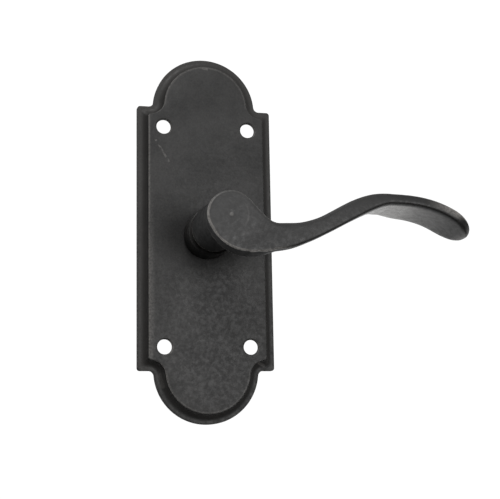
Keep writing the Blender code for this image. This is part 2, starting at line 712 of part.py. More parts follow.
def make_rivets():
    profile = [
        (0.0, RIVET_DEPTH),
        (RIVET_SHANK_RADIUS, RIVET_DEPTH),
        (RIVET_SHANK_RADIUS, RIVET_TOP),
        (RIVET_HEAD_RADIUS, RIVET_TOP),
        (RIVET_HEAD_RADIUS, RIVET_TOP - RIVET_HEAD),
        (0.0, RIVET_TOP - RIVET_HEAD),
    ]
    for number, centre in enumerate(RIVET_PLACES, start=1):
        rivet = turned(f"cover_rivet_{number}", profile)
        rivet.modifiers["turn"].steps = 16
        rivet.modifiers["turn"].render_steps = 16
        rivet.location = (centre[0], centre[1], 0.0)
        place(rivet, door_face, bright_steel, 0.4, 1.0)


make_backplate()
make_collar()
make_sleeve()
make_thrust_washer()
make_lever()
make_spindle()
make_grub_screw()
make_cam_plate()
make_cam_pin()
make_retaining_ring()
make_spring()
make_stop_pins()
make_cover()
make_rivets()
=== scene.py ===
"""A cast iron door lever on its shouldered backplate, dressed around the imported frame.

World axes, in metres: X to the right, Y into the door, Z up. The origin is on the spindle's
axis at the door's face, so a height h off the door is at Y = -h.
"""
import math

import bmesh
import bpy
import numpy as np
from mathutils import Matrix, Vector


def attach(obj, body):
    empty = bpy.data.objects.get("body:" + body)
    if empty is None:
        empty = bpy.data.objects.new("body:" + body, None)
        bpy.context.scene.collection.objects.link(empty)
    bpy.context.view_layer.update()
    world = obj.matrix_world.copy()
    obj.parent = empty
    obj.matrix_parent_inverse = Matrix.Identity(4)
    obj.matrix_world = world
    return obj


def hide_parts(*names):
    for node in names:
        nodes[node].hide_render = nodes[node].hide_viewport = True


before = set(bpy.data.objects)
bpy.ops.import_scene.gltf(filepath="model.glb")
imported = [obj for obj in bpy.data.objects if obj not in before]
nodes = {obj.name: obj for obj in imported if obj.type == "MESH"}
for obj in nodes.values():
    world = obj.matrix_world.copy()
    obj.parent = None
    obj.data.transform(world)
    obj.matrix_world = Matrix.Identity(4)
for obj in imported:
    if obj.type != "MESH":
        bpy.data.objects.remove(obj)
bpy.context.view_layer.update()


# ---------------------------------------------------------------- backplate
# The backplate is one iron casting: a shouldered plate with an arch at each end, an upright
# rim, a hollow cove all round and a raised field. Its back is hollow, but for the round
# spring chamber and four rivet lugs. Four open holes take the wood screws into the door.
PLATE_HALF_WIDTH = 0.0285
LEDGE = 0.0553                  # spindle axis to the shoulders
ARCH = 0.0217
ARCH_FOOT = 0.0022              # round where an arch meets its shoulder
PLATE_CORNER = 0.0012
RIM_TOP = 0.0022
RIM_ROUND = 0.0003
LIP = 0.0007
COVE = 0.0031
COVE_TOP = 0.0056
FIELD = 0.0060
BORDER = 0.0044
SKIN = 0.0015
HOLLOW_INSET = 0.0058
CHAMBER_INNER = 0.0158
CHAMBER_OUTER = 0.0172
CHAMBER_RIM = 0.0020
BORE = 0.0085
SCREW_U = 0.0179
SCREW_V = 0.0459
SCREW_HOLE = 0.00305
HOLE_EDGE = 0.0005
RIVET_AT = 0.0138
RIVET_HOLE = 0.0013
LUG = 0.0030
MERGE = 0.000002                # doubled points that a cut leaves


def arc_points(centre, radius, start, stop, count):
    """centre + radius (cos a, sin a), with the angle a running evenly from start to stop."""
    angle = np.linspace(start, stop, count)
    return np.stack([centre[0] + radius * np.cos(angle), centre[1] + radius * np.sin(angle)], axis=1)


def plate_outline(inset):
    """The outline moved inwards by inset: arch, foot round and shoulder corner, mirrored twice."""
    foot_u = math.sqrt((ARCH + ARCH_FOOT) ** 2 - ARCH_FOOT**2)
    meeting = math.atan2(ARCH_FOOT, foot_u)
    side = PLATE_HALF_WIDTH - inset
    ledge = LEDGE - inset
    corner = (side - PLATE_CORNER, ledge - PLATE_CORNER)
    quarter = np.concatenate([
        arc_points((0.0, LEDGE), ARCH - inset, math.pi / 2, meeting, 48),
        arc_points((foot_u, LEDGE + ARCH_FOOT), ARCH_FOOT + inset,
                   math.pi + meeting, 1.5 * math.pi, 14)[1:],
        arc_points(corner, PLATE_CORNER, math.pi / 2, 0.0, 8),
    ])
    straight = np.linspace(corner[1], -corner[1], 60)[1:-1]
    right = np.concatenate([quarter, np.stack([np.full(len(straight), side), straight], 1),
                            quarter[::-1] * (1, -1)])
    return np.concatenate([right, (right * (-1, 1))[::-1][1:-1]])


def skinned(name, rings):
    """A solid through closed rings of equal count, (rings, points, 3), with a face on each end."""
    rows, count = rings.shape[:2]
    index = np.arange(rows * count).reshape(rows, count)
    low, high = index[:-1], index[1:]
    quads = np.stack([low, np.roll(low, -1, 1), np.roll(high, -1, 1), high], -1).reshape(-1, 4)
    mesh = bpy.data.meshes.new(name)
    faces = [tuple(index[0, ::-1])] + quads.tolist() + [tuple(index[-1])]
    mesh.from_pydata(rings.reshape(-1, 3).tolist(), [], faces)
    points = rings.reshape(-1, 3)
    ends = points[quads]
    crossed = np.cross(ends[:, 1] - ends[:, 0], ends[:, 3] - ends[:, 0])
    if (ends[:, 0] * crossed).sum() < 0.0:
        mesh.flip_normals()
    obj = bpy.data.objects.new(name, mesh)
    bpy.context.scene.collection.objects.link(obj)
    return obj


def level_ring(outline, height):
    """An outline of (u, v) laid at a height off the door, as (X, Y, Z)."""
    return np.stack([outline[:, 0], np.full(len(outline), -height), outline[:, 1]], axis=1)


def turned(name, profile, steps=96):
    """A profile of (radius, height off the door) carried round the spindle's axis, closed on it."""
    profile = np.array(profile)
    angle = np.linspace(0.0, 2 * math.pi, steps, endpoint=False)
    radius, height = profile[:, 0][:, None], profile[:, 1][:, None]
    rings = np.stack([radius * np.cos(angle), -height + 0 * angle, radius * np.sin(angle)], -1)
    return skinned(name, rings)


def drilled(centre, radius, start, stop, steps=64, mouth=0.0):
    """A round cutter along the door's normal, from one height to another, wider at its mouth."""
    profile = [(radius, start), (radius, stop - mouth), (radius + 2 * mouth, stop + mouth)]
    cutter = turned("cutter", profile, steps)
    cutter.data.transform(Matrix.Translation((centre[0], 0.0, centre[1])))
    return cutter


def combined(obj, tools, operation):
    """Join or cut the solid with each tool in turn, then leave one plain mesh."""
    for tool in tools:
        modifier = obj.modifiers.new("combine", "BOOLEAN")
        modifier.operation = operation
        modifier.solver = "EXACT"
        modifier.object = tool
    settled(obj)
    for tool in tools:
        bpy.data.objects.remove(tool, do_unlink=True)


def settled(obj):
    """Turn the modified shape into the object's own mesh, its doubled points merged and closed."""
    bpy.context.view_layer.update()
    graph = bpy.context.evaluated_depsgraph_get()
    mesh = bpy.data.meshes.new_from_object(obj.evaluated_get(graph), depsgraph=graph)
    shape = bmesh.new()
    shape.from_mesh(mesh)
    bmesh.ops.remove_doubles(shape, verts=shape.verts, dist=MERGE)
    bmesh.ops.holes_fill(shape, edges=[edge for edge in shape.edges if edge.is_boundary], sides=8)
    shape.to_mesh(mesh)
    shape.free()
    obj.modifiers.clear()
    obj.data = mesh


def softly_shaded(obj, degrees=32.0):
    obj.data.shade_smooth()
    obj.data.set_sharp_from_angle(angle=math.radians(degrees))


profile = [(0.0, 0.0), (0.0, RIM_TOP)]
for turn in np.linspace(0.0, math.pi / 2, 4)[1:]:
    profile.append((RIM_ROUND * (1 - math.cos(turn)), RIM_TOP + RIM_ROUND * math.sin(turn)))
cove_foot = RIM_TOP + RIM_ROUND
for turn in np.linspace(0.0, math.pi / 2, 18):
    inset = RIM_ROUND + LIP + COVE * math.sin(turn)
    profile.append((inset, COVE_TOP - (COVE_TOP - cove_foot) * math.cos(turn)))
arris_u, arris_h = BORDER - (RIM_ROUND + LIP + COVE), FIELD - COVE_TOP
for turn in np.linspace(0.0, math.pi / 2, 6)[1:]:
    profile.append((BORDER - arris_u * math.cos(turn), COVE_TOP + arris_h * math.sin(turn)))
plate = skinned("backplate_casting", np.stack([level_ring(plate_outline(i), h) for i, h in profile]))
hollow = skinned("hollow", np.stack([
    level_ring(plate_outline(HOLLOW_INSET), -SKIN), level_ring(plate_outline(HOLLOW_INSET), FIELD - SKIN)]))
combined(plate, [hollow], "DIFFERENCE")

corners = [(su, sv) for su in (-1, 1) for sv in (-1, 1)]
chamber = drilled((0, 0), CHAMBER_OUTER, CHAMBER_RIM, FIELD - SKIN / 2, 128)
combined(chamber, [drilled((0, 0), CHAMBER_INNER, 0.0, FIELD, 128)], "DIFFERENCE")
lugs = [drilled((su * RIVET_AT, sv * RIVET_AT), LUG, CHAMBER_RIM, FIELD - SKIN / 2, 40)
        for su, sv in corners]
combined(plate, [chamber] + lugs, "UNION")
holes = [drilled((su * SCREW_U, sv * SCREW_V), SCREW_HOLE, -SKIN, FIELD, 64, HOLE_EDGE)
         for su, sv in corners]
holes += [drilled((su * RIVET_AT, sv * RIVET_AT), RIVET_HOLE, 0.0, FIELD - SKIN, 24)
          for su, sv in corners]
holes.append(drilled((0, 0), BORE, 0.0, FIELD + SKIN, 96))
combined(plate, holes, "DIFFERENCE")
softly_shaded(plate, 28.0)


MILLIMETRES = 1000.0


def group_shell(name, inputs, outputs):
    """An empty shader group with its named sockets: (name, type, default) in, (name, type) out."""
    tree = bpy.data.node_groups.new(name, "ShaderNodeTree")
    for label, kind, default in inputs:
        socket = tree.interface.new_socket(label, in_out="INPUT", socket_type="NodeSocket" + kind)
        if default is not None:
            socket.default_value = default
    for label, kind in outputs:
        tree.interface.new_socket(label, in_out="OUTPUT", socket_type="NodeSocket" + kind)
    return tree, tree.nodes.new("NodeGroupInput"), tree.nodes.new("NodeGroupOutput")


def node(tree, kind, settings=None, **inputs):
    """Add a node, with plain settings and with inputs that are values or other nodes' sockets."""
    made = tree.nodes.new("ShaderNode" + kind)
    for key, value in (settings or {}).items():
        setattr(made, key, value)
    for key, value in inputs.items():
        place = made.inputs[int(key[1:])] if key[0] == "_" else made.inputs[key.replace("_", " ")]
        if isinstance(value, bpy.types.NodeSocket):
            tree.links.new(value, place)
        else:
            place.default_value = value
    return made


def maths(tree, operation, first, second=0.0, clamp=False):
    """One sum on two values, held to 0..1 where clamp is set."""
    return node(tree, "Math", {"operation": operation, "use_clamp": clamp}, _0=first, _1=second).outputs[0]


def product(tree, first, *others):
    """All the masks multiplied together."""
    for other in others:
        first = maths(tree, "MULTIPLY", first, other)
    return first


def largest(tree, first, *others):
    """The strongest of several masks."""
    for other in others:
        first = maths(tree, "MAXIMUM", first, other)
    return first


def vector(tree, operation, first, second=None, output="Vector"):
    """One vector sum, giving a vector or, by name, its value."""
    inputs = {"_0": first} if second is None else {"_0": first, "_1": second}
    return node(tree, "VectorMath", {"operation": operation}, **inputs).outputs[output]


def measured(tree, place):
    """The place in millimetres: across (X), up (Z), and the height off the door (-Y)."""
    split = node(tree, "SeparateXYZ", _0=place)
    across = maths(tree, "MULTIPLY", split.outputs["X"], MILLIMETRES)
    up = maths(tree, "MULTIPLY", split.outputs["Z"], MILLIMETRES)
    height = maths(tree, "MULTIPLY", split.outputs["Y"], -MILLIMETRES)
    return across, up, height


def from_centre(tree, across, up):
    """The distance from a centre, of which the offsets across and up are given."""
    offset = node(tree, "CombineXYZ", X=across, Z=up).outputs[0]
    return vector(tree, "LENGTH", offset, output="Value")


def band(tree, value, low, high, to_low=0.0, to_high=1.0):
    """Carry a value from the range low..high to to_low..to_high, held at both ends."""
    made = node(tree, "MapRange", {"interpolation_type": "SMOOTHSTEP"}, Value=value)
    for key, number in zip(("From Min", "From Max", "To Min", "To Max"), (low, high, to_low, to_high)):
        made.inputs[key].default_value = number
    return made.outputs[0]


def mixed(tree, factor, first, second, blend="MIX"):
    made = node(tree, "Mix", {"data_type": "RGBA", "blend_type": blend}, _0=factor, _6=first, _7=second)
    return made.outputs[2]


def grey(value, warmth=0.0):
    """A linear grey, drawn a little towards yellow by warmth."""
    return (value * (1 + warmth), value, value * (1 - warmth), 1.0)


# The mottle of blackened cast iron: broad clouds, a fine grain, and a skin of small lumps.
mottle, given, out = group_shell(
    "cast_mottle",
    [("Position", "Vector", None), ("Scale", "Float", 1.0)],
    [("Clouds", "Float"), ("Grain", "Float"), ("Lumps", "Float"), ("Pits", "Float")])
scaled = node(mottle, "VectorMath", {"operation": "SCALE"}, _0=given.outputs[0])
mottle.links.new(given.outputs[1], scaled.inputs["Scale"])
scaled = scaled.outputs[0]
blotches = node(mottle, "TexNoise", Vector=scaled, Scale=48.0, Detail=2.0, Roughness=0.5)
clouds = node(mottle, "TexNoise", Vector=scaled, Scale=150.0, Detail=4.0, Roughness=0.6)
clouds_mixed = maths(mottle, "ADD", product(mottle, blotches.outputs[0], 0.6),
                     product(mottle, clouds.outputs[0], 0.4))
grain = node(mottle, "TexNoise", Vector=scaled, Scale=1150.0, Detail=3.0, Roughness=0.7)
lumps = node(mottle, "TexNoise", Vector=scaled, Scale=520.0, Detail=5.0, Roughness=0.62, Distortion=0.3)
pores = node(mottle, "TexVoronoi", {"feature": "F1"}, Vector=scaled, Scale=620.0, Randomness=1.0)
pit_area = band(mottle, blotches.outputs[0], 0.47, 0.66)
pits = product(mottle, band(mottle, pores.outputs["Distance"], 0.17, 0.05), pit_area)
for socket, source in zip(out.inputs, (clouds_mixed, grain.outputs[0], lumps.outputs[0], pits)):
    mottle.links.new(source, socket)

# Wear and glint: the blacking thins where hands and polishing cloths reach, so the edges show paler,
# faintly olive iron, broken up by the grain. The same paler iron paints the highlights in the masks
# fed to it.
wear_and_glint_group, given, out = group_shell(
    "edge_wear_and_glint",
    [("Edge", "Float", 0.0), ("Break Up", "Float", 0.5), ("Amount", "Float", 1.0)], [("Mask", "Float")])
broken = band(wear_and_glint_group, given.outputs["Break Up"], 0.30, 0.66, 0.35, 1.0)
mask = product(wear_and_glint_group, given.outputs["Edge"], broken)
mask = maths(wear_and_glint_group, "MULTIPLY", mask, given.outputs["Amount"], clamp=True)
wear_and_glint_group.links.new(mask, out.inputs[0])


def facing(tree, direction):
    """How far the surface faces a fixed direction of the piece itself, -1 to 1."""
    normal = node(tree, "TexCoord").outputs["Normal"]
    return vector(tree, "DOT_PRODUCT", normal, direction, "Value")


BLACKING_METALLIC, BARE_METALLIC = 0.15, 0.95
BARE_IRON = grey(0.21, 0.02)


def blackened_iron(name, features, low, high, wear_and_glint, wear_and_glint_amount, roughness=(0.46, 0.60), bump=0.3):
    """Dark cast iron: clouds between two greys, grain, pits, and paler iron on worn edges and on
    painted highlights.

    features gives the mask of worn edges and painted highlights, a list of (mask, colour) layers
    below them, some of them painted shade, the mask of bare, polished iron, and the mask where the
    iron is made duller.
    """
    material = bpy.data.materials.new(name)
    material.use_nodes = True
    tree = material.node_tree
    shader = tree.nodes["Principled BSDF"]
    place = node(tree, "TexCoord").outputs["Object"]
    cast = node(tree, "Group", {"node_tree": mottle}, Position=place)
    edge, layers, polish, dull = features(tree, place, cast)
    wear_and_glint_mask = node(tree, "Group", {"node_tree": wear_and_glint_group},
                 Edge=edge, Break_Up=cast.outputs["Grain"], Amount=wear_and_glint_amount)
    body = mixed(tree, band(tree, cast.outputs["Clouds"], 0.38, 0.62), low, high)
    grains = band(tree, cast.outputs["Grain"], 0.40, 0.70, 0.0, 0.10)
    body = mixed(tree, grains, body, grey(high[1] * 1.9, 0.02))
    body = mixed(tree, product(tree, cast.outputs["Pits"], 0.45), body, grey(low[1] * 0.4))
    for mask, colour in layers:
        body = mixed(tree, mask, body, colour)
    body = mixed(tree, wear_and_glint_mask.outputs[0], body, wear_and_glint)
    rough = band(tree, cast.outputs["Lumps"], 0.35, 0.65, *roughness)
    rough = maths(tree, "SUBTRACT", rough, product(tree, wear_and_glint_mask.outputs[0], 0.08))
    rough = maths(tree, "ADD", rough, product(tree, dull, 0.30))
    if polish is None:
        shader.inputs["Metallic"].default_value = BLACKING_METALLIC
    else:
        body = mixed(tree, polish, body, BARE_IRON)
        rough = maths(tree, "SUBTRACT", rough, product(tree, polish, 0.16))
        metallic = band(tree, polish, 0.0, 1.0, BLACKING_METALLIC, BARE_METALLIC)
        tree.links.new(metallic, shader.inputs["Metallic"])
    tree.links.new(body, shader.inputs["Base Color"])
    tree.links.new(rough, shader.inputs["Roughness"])
    shader.inputs["Specular IOR Level"].default_value = 0.45
    height = maths(tree, "ADD", product(tree, cast.outputs["Lumps"], 0.7),
                   product(tree, cast.outputs["Grain"], 0.2))
    height = maths(tree, "SUBTRACT", height, product(tree, cast.outputs["Pits"], 0.3))
    lumpy = node(tree, "Bump", Strength=bump, Distance=0.0003, Height=height)
    tree.links.new(lumpy.outputs[0], shader.inputs["Normal"])
    return material


def near_line(tree, place, start, stop, width):
    """A mask round a straight mark, between two (X, Z) points in millimetres."""
    length = math.dist(start, stop)
    along = ((stop[0] - start[0]) / length, (stop[1] - start[1]) / length)
    flat = vector(tree, "MULTIPLY", place, (MILLIMETRES, 0.0, MILLIMETRES))
    moved = vector(tree, "SUBTRACT", flat, (start[0], 0.0, start[1]))
    travel, aside = (
        vector(tree, "DOT_PRODUCT", moved, axis, "Value")
        for axis in ((along[0], 0.0, along[1]), (-along[1], 0.0, along[0])))
    from_middle = maths(tree, "ABSOLUTE", maths(tree, "SUBTRACT", travel, length / 2))
    past_end = maths(tree, "SUBTRACT", from_middle, length / 2)
    away = maths(tree, "MAXIMUM", maths(tree, "ABSOLUTE", aside), past_end)
    return band(tree, away, width, width * 0.4)


# Marks on the plate, each from one (X, Z) point to another in millimetres.
SCRATCH = ((-21.4, 40.0), (-13.8, 27.6))
KNOCK = ((-1.0, 72.3), (0.6, 72.0))
RUB = ((-20.0, -57.6), (-18.6, -61.4))
CORNER_NICK = ((21.6, -52.2), (23.8, -53.2))


def plate_features(tree, place, cast):
    """Worn iron on the arris, with painted highlights; a few scars; and painted shade in the steep
    of the cove, on the lip and on the upright rim.

    Every range is in millimetres off the door, across the plate or up it.
    """
    across, up, height = measured(tree, place)
    arris_wear_and_glint = product(tree, band(tree, height, 5.45, 5.75), band(tree, height, 6.02, 5.985))
    # Painted highlights: the worn arris is made brighter where it faces left, down and up, most of all lower
    # down.
    left_glint = band(tree, facing(tree, (-0.92, -0.38, 0.0)), 0.40, 0.85, 0.12, 1.0)
    foot = band(tree, facing(tree, (0.0, -0.38, -0.92)), 0.40, 0.85, 0.0, 0.40)
    crown_glint = band(tree, facing(tree, (-0.30, -0.38, 0.87)), 0.40, 0.85, 0.0, 0.25)
    arris_wear_and_glint = product(tree, arris_wear_and_glint, largest(tree, left_glint, foot, crown_glint), band(tree, up, 55.0, -30.0, 0.7, 1.0))

    # Paler iron at the field's left edge: wear, with a painted highlight spreading from the lit arris.
    left_field_wear_and_sheen = product(tree, band(tree, across, -20.5, -24.4), band(tree, up, 40.0, -30.0, 0.1, 0.5))
    left_line_wear_and_sheen = product(tree, band(tree, across, -23.4, -24.0), 0.55)
    from_middle = maths(tree, "ABSOLUTE", up)
    past_ledge = maths(tree, "SUBTRACT", from_middle, LEDGE * MILLIMETRES)
    arch_line = product(tree, band(tree, from_centre(tree, across, past_ledge), 16.5, 17.1),
                        band(tree, from_middle, 54.0, 57.0, 0.0, 0.30))
    on_field = band(tree, height, 5.9, 5.99)
    rubbed_and_sheen = product(tree, largest(tree, left_field_wear_and_sheen, left_line_wear_and_sheen, arch_line), on_field)
    rim = product(tree, band(tree, height, 2.25, 2.45), band(tree, height, 2.9, 2.6), 0.07)

    dashes = band(tree, cast.outputs["Lumps"], 0.46, 0.60, 0.0, 0.55)
    scratch = product(tree, near_line(tree, place, *SCRATCH, 0.65), dashes)
    knock = product(tree, near_line(tree, place, *KNOCK, 0.75), 0.5)
    rub = product(tree, near_line(tree, place, *RUB, 1.6), 0.16)
    nick = product(tree, near_line(tree, place, *CORNER_NICK, 0.8), 0.45)
    high_scars = product(tree, largest(tree, scratch, knock), band(tree, height, 5.3, 5.5))
    low_scars = product(tree, largest(tree, rub, nick), band(tree, height, 2.3, 2.5))
    edge = largest(tree, arris_wear_and_glint, rubbed_and_sheen, rim, high_scars, low_scars)

    border = band(tree, height, 5.9, 5.4, 0.0, 0.6)
    # Painted shade in the steep of the cove.
    steep_shade = product(tree, band(tree, height, 3.8, 5.1), band(tree, height, 5.75, 5.4, 0.0, 0.8))
    # Painted shade on the upright rim's side; the same mask also makes it duller.
    upright_shade = band(tree, height, 2.3, 2.0, 0.0, 0.8)
    # Painted shade on the lip, darker lower down and to the right.
    lip_shade = product(tree, band(tree, height, 3.1, 2.6), band(tree, up, 40.0, -60.0, 0.35, 0.85),
                  band(tree, across, -26.0, -18.0, 0.25, 1.0))
    layers = [
        (border, grey(0.042, 0.07)), (steep_shade, grey(0.010)), (lip_shade, grey(0.014)), (upright_shade, grey(0.010))]
    return edge, layers, None, upright_shade


plate.data.materials.append(blackened_iron(
    "blackened_plate_iron", plate_features, grey(0.019, 0.0), grey(0.037, 0.012), grey(0.24, 0.05), 1.0))
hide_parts("backplate")
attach(plate, "plate")


# ---------------------------------------------------------------- lever
# The lever is a second iron casting: a round neck with a swelling barrel and a flat-faced
# head, a scrolled bar growing out of the head's lower edge, and a paddle for the hand. Its
# turned shank runs back through the plate. It is solid here: the spindle fills its socket.
NECK_FOOT = 0.0196
SHANK = 0.0068
SHANK_END = 0.00205
GROOVE_TOP, GROOVE_FOOT, GROOVE_RADIUS = 0.00325, 0.00235, 0.0063
BARREL_ROOT, BARREL, WAIST = 0.0091, 0.0095, 0.0087
BARREL_RISE, WAIST_RISE = 0.0070, 0.0224
HEAD = 0.0093
HEAD_THICK = 0.0055
HEAD_BEVEL = 0.0004
MARK_FLOOR, MARK, MARK_DEPTH = 0.0008, 0.0014, 0.0002   # the centre mark on the head's face
FACE = 0.0503
REACH = 0.0999
TIP_ROUND = 0.0094
PADDLE_TILT = math.radians(5.9)
HEEL_ROUND, HEEL_START, HEEL_END, HEEL_TOP = 0.0160, -0.0086, 0.0066, 0.0010
SPINE = np.array([              # place along the reach, height, slope
    (HEEL_END, -0.0037, -0.45),
    (0.170 * REACH, -0.0078, 0.0),
    (0.400 * REACH, -0.0012, 0.54),
    (0.651 * REACH, 0.0085, 0.0),
    (REACH, -0.0037, -0.94),
])
THICKNESS = np.array([          # share of the reach, thickness of the bar up the plate
    (0.066, 0.0206), (0.109, 0.0163), (0.132, 0.0141), (0.148, 0.0126), (0.163, 0.0113),
    (0.187, 0.0102), (0.210, 0.0101), (0.300, 0.0079), (0.380, 0.0069), (0.480, 0.0070),
    (0.571, 0.0063), (0.661, 0.0047), (1.000, 0.0047)])
HALF_WIDTH = np.array([         # share of the reach, half the bar's width towards the door
    (-0.086, 0.0032), (0.000, 0.0044), (0.060, 0.0060), (0.110, 0.0060), (0.150, 0.0050),
    (0.183, 0.0036), (0.220, 0.0029), (0.320, 0.0025), (0.420, 0.0025), (0.520, 0.0032),
    (0.620, 0.0077), (0.741, 0.0100), (1.000, 0.0100)])
BAR_SQUARENESS = 5.5
ROOT_SQUARENESS = 20.0          # the flat face runs right out to the heel's edge
BAR_PROUD = -0.0001             # of the bar's front from the head's face
SKIN_GRAIN = 0.00042            # the fineness of the casting's joined skin
TRIM_RADIUS = 0.02
FOOT_SPARE = 0.0010             # trimmed off the neck's foot once its skin is made
OVERLAP = 0.004                 # of one solid into the next, where they join


def hermite(x, table):
    """Piecewise cubic through rows of (place, value, slope)."""
    index = np.clip(np.searchsorted(table[:, 0], x) - 1, 0, len(table) - 2)
    x0, v0, s0 = table[index].T
    x1, v1, s1 = table[index + 1].T
    t = (x - x0) / (x1 - x0)
    start = (2 * t**3 - 3 * t**2 + 1) * v0 + (t**3 - 2 * t**2 + t) * (x1 - x0) * s0
    return start + (3 * t**2 - 2 * t**3) * v1 + (t**3 - t**2) * (x1 - x0) * s1


def eased(x, table):
    """The same through rows of (place, value), with slopes that never overshoot."""
    rise = np.diff(table[:, 1]) / np.diff(table[:, 0])
    product = rise[:-1] * rise[1:]
    total = np.where(product > 0, rise[:-1] + rise[1:], 1.0)
    slopes = np.concatenate([[0.0], np.where(product > 0, 2 * product / total, 0.0), [0.0]])
    return hermite(x, np.column_stack([table, slopes]))


def smooth_step(x, start, stop):
    t = np.clip((x - start) / (stop - start), 0.0, 1.0)
    return t**2 * (3.0 - 2.0 * t)


def bar_rings(heel_rows=24, rows=150, tip_rows=26, around=72):
    """Boxy ovals |cos|^p, |sin|^p carried along the spine, from the heel to the paddle's end.

    The points crowd into the corners, so that square ovals stay square. Each oval is upright
    at the root, then leans square to the spine, and tilts on the paddle.
    """
    body_end = REACH - TIP_ROUND
    heel_turn = math.asin((HEEL_END - HEEL_START) / HEEL_ROUND)
    heel_angles = np.linspace(-heel_turn, 0.0, heel_rows, endpoint=False)
    tip_angles = np.linspace(0.0, math.radians(84.0), tip_rows)
    u = np.concatenate([
        HEEL_END + HEEL_ROUND * np.sin(heel_angles),
        np.linspace(HEEL_END, body_end, rows, endpoint=False),
        body_end + TIP_ROUND * np.sin(tip_angles) / math.sin(tip_angles[-1])])
    share = u / REACH
    middle = hermite(np.maximum(u, HEEL_END), SPINE)
    half_thick = eased(np.maximum(share, share[heel_rows]), THICKNESS) / 2
    slope = np.gradient(middle, u) * smooth_step(share, 0.170, 0.240)
    before_end = np.minimum(u - HEEL_END, 0.0)
    lower = middle - half_thick + HEEL_ROUND - np.sqrt(HEEL_ROUND**2 - before_end**2)
    upper = middle + half_thick
    upper += (HEEL_TOP - upper) * before_end / (HEEL_START - HEEL_END)
    middle, half_thick = (upper + lower) / 2, (upper - lower) / 2
    length = np.hypot(1.0, slope)
    across_u, across_v = -slope / length, 1.0 / length
    half_wide = eased(share, HALF_WIDTH)
    past = np.clip((u - body_end) / TIP_ROUND, 0.0, 1.0) * math.sin(tip_angles[-1])
    narrowed = half_wide * np.sqrt(1.0 - past**2)
    thinned = half_thick * np.sqrt(1.0 - past**6)
    tilt = PADDLE_TILT * smooth_step(share, 0.380, 0.700)
    angle = np.linspace(0.0, 2 * math.pi, around, endpoint=False)
    angle = angle + 0.24 * np.sin(4 * angle)
    squareness = ROOT_SQUARENESS + (BAR_SQUARENESS - ROOT_SQUARENESS) * smooth_step(share, 0.09, 0.24)
    power = (2.0 / squareness)[:, None]
    side = np.sign(np.cos(angle)) * np.abs(np.cos(angle)) ** power
    rise = np.sign(np.sin(angle)) * np.abs(np.sin(angle)) ** power
    inwards = half_wide[:, None] + narrowed[:, None] * side
    normal = thinned[:, None] * rise
    depth = inwards * np.cos(tilt)[:, None] + normal * np.sin(tilt)[:, None]
    lift = normal * np.cos(tilt)[:, None] - inwards * np.sin(tilt)[:, None]
    height = FACE + BAR_PROUD - depth
    return np.stack([u[:, None] + across_u[:, None] * lift, -height,
                     middle[:, None] + across_v[:, None] * lift], axis=-1)


def mesh_arrays(mesh):
    """The mesh's points, normals and edge pairs as whole arrays."""
    points = np.empty(len(mesh.vertices) * 3)
    mesh.vertices.foreach_get("co", points)
    normals = np.empty(len(mesh.vertices) * 3)
    mesh.vertex_normals.foreach_get("vector", normals)
    edges = np.empty(len(mesh.edges) * 2, dtype=np.int64)
    mesh.edges.foreach_get("vertices", edges)
    return points.reshape(-1, 3), normals.reshape(-1, 3), edges.reshape(-1, 2)


def cast_edges(mesh, gain, passes):
    """Store how far each point stands proud of its neighbours, spread by averaging: the edges."""
    points, normals, edges = mesh_arrays(mesh)
    a, b = edges.T
    along = points[b] - points[a]
    long = np.linalg.norm(along, axis=1) + 1e-9
    bend_a = -(along * normals[a]).sum(1) / long
    bend_b = (along * normals[b]).sum(1) / long
    count = np.bincount(np.concatenate([a, b]), minlength=len(points)).clip(1)
    proud = np.bincount(np.concatenate([a, b]), np.concatenate([bend_a, bend_b]), len(points)) / count
    for _ in range(passes):
        spread = np.bincount(np.concatenate([a, b]), np.concatenate([proud[b], proud[a]]), len(points))
        proud = 0.5 * proud + 0.5 * spread / count
    layer = mesh.attributes.new("proud", "FLOAT", "POINT")
    layer.data.foreach_set("value", np.clip(proud * gain, 0.0, 1.0).astype(np.float32))


rounds = np.linspace(0.0, math.pi / 2, 5)
profile = [(MARK_FLOOR, FACE - MARK_DEPTH), (MARK, FACE)]
profile += [(HEAD - HEAD_BEVEL * (1 - math.sin(t)), FACE - HEAD_BEVEL * (1 - math.cos(t))) for t in rounds]
head_foot = FACE - HEAD_THICK
profile += [(HEAD, head_foot + HEAD_BEVEL), (HEAD - HEAD_BEVEL, head_foot)]
for t in np.linspace(1.0, 0.0, 25):
    ease = 0.5 - 0.5 * math.cos(math.pi * t)
    rise = BARREL_RISE + (WAIST_RISE - BARREL_RISE) * t
    profile.append((BARREL + (WAIST - BARREL) * ease, NECK_FOOT + rise))
for t in np.linspace(0.9, 0.0, 9):
    swell = (BARREL - BARREL_ROOT) * math.sin(math.pi / 2 * t)
    profile.append((BARREL_ROOT + swell, NECK_FOOT + BARREL_RISE * t))
profile.append((BARREL_ROOT, NECK_FOOT - FOOT_SPARE))
lever = turned("lever_casting", profile, 128)
combined(lever, [skinned("bar", bar_rings())], "UNION")
remesh = lever.modifiers.new("one_skin", "REMESH")
remesh.mode = "VOXEL"
remesh.voxel_size = SKIN_GRAIN
remesh.adaptivity = 0.0
soften = lever.modifiers.new("cast_rounds", "SMOOTH")
soften.factor = 0.5
soften.iterations = 4
settled(lever)
combined(lever, [drilled((0, 0), TRIM_RADIUS, NECK_FOOT - OVERLAP, NECK_FOOT)], "DIFFERENCE")
shank = turned("shank", [
    (SHANK, NECK_FOOT + OVERLAP), (SHANK, GROOVE_TOP), (GROOVE_RADIUS, GROOVE_TOP),
    (GROOVE_RADIUS, GROOVE_FOOT), (SHANK, GROOVE_FOOT), (SHANK, SHANK_END)], 96)
combined(lever, [shank], "UNION")
softly_shaded(lever, 40.0)
cast_edges(lever.data, 9.0, 3)


